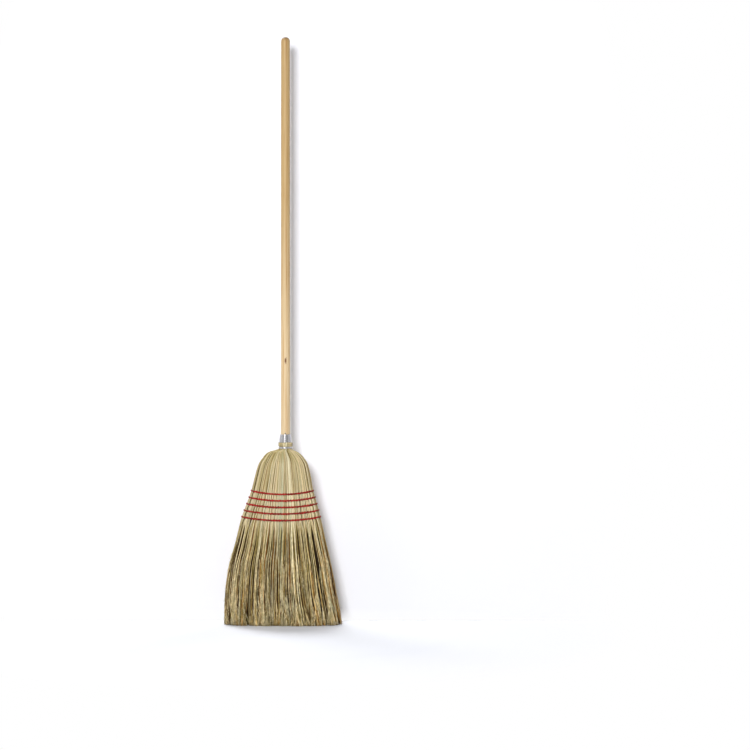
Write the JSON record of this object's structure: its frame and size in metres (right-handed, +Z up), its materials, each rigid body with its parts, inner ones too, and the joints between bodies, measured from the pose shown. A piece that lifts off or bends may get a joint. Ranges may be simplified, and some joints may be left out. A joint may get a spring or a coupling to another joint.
{
  "type": "parlor broom",
  "caption": "Upright flat broom: long round wood handle, wire-bound neck, sewn fan of natural broomcorn straw cut straight across at the tips.",
  "frame": {"origin": "on the floor under the middle of the straw tips", "axes": "+Z up along the handle, +X to the right across the broad face, -Y out of the broad front face"},
  "size_m": [0.2752, 0.0901, 1.397],
  "materials": {
    "handle_wood": "satin",
    "inside_straw": "matte",
    "shoulder_straw": "matte",
    "cover_straw": "matte",
    "wire": "satin",
    "nail": "satin",
    "twine": "matte"
  },
  "bodies": {
    "root": {"handle": "handle_wood", "core_straw": "inside_straw", "core_binding": "wire", "shoulder_straw_left": "shoulder_straw", "shoulder_straw_right": "shoulder_straw", "cover_straw_front": "cover_straw", "cover_straw_back": "cover_straw", "neck_wire": "wire", "wire_nail": "nail", "stitch_row_1": "twine", "stitch_row_2": "twine", "stitch_row_3": "twine", "stitch_row_4": "twine", "stitch_row_5": "twine"}
  },
  "joints": []
}
